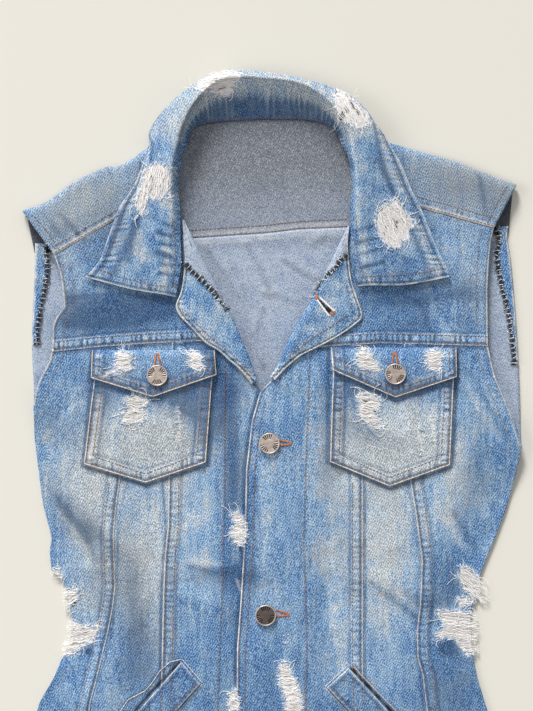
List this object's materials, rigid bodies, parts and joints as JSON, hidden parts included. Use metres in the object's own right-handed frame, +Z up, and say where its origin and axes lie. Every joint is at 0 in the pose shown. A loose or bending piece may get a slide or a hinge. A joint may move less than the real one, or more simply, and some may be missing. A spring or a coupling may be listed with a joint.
{
  "type": "denim vest",
  "caption": "Sleeveless distressed denim jacket lying flat on its back, with open collar and lapels, flap pockets and shank buttons.",
  "frame": {"origin": "middle of the bounding box's underside, on the surface that the vest lies on", "axes": "+X to the right in the picture, +Y toward the collar, +Z up off the surface"},
  "size_m": [0.4278, 0.6122, 0.0235],
  "materials": {
    "denim": "washed blue denim, matt",
    "denim_faded": "faded denim, matt",
    "denim_inside": "wrong side of denim, matt",
    "button_metal": "antique nickel"
  },
  "bodies": {
    "root": {"back_panel": "denim_inside", "back_yoke": "denim_inside", "armhole_facing_left": "denim", "armhole_facing_right": "denim", "front_yoke_left": "denim_faded", "front_side_left": "denim", "front_middle_left": "denim_faded", "front_centre_left": "denim", "front_band_left": "denim", "front_yoke_right": "denim_faded", "front_side_right": "denim", "front_middle_right": "denim_faded", "front_centre_right": "denim", "front_band_right": "denim", "lapel_left": "denim_inside", "lapel_right": "denim_inside", "chest_pocket_left": "denim_faded", "pocket_flap_left": "denim_faded", "button_pocket_left": "button_metal", "chest_pocket_right": "denim_faded", "pocket_flap_right": "denim_faded", "button_pocket_right": "button_metal", "welt_left": "denim", "welt_right": "denim", "collar": "denim", "button_front_1": "button_metal", "button_front_2": "button_metal", "button_front_3": "button_metal"}
  },
  "joints": []
}
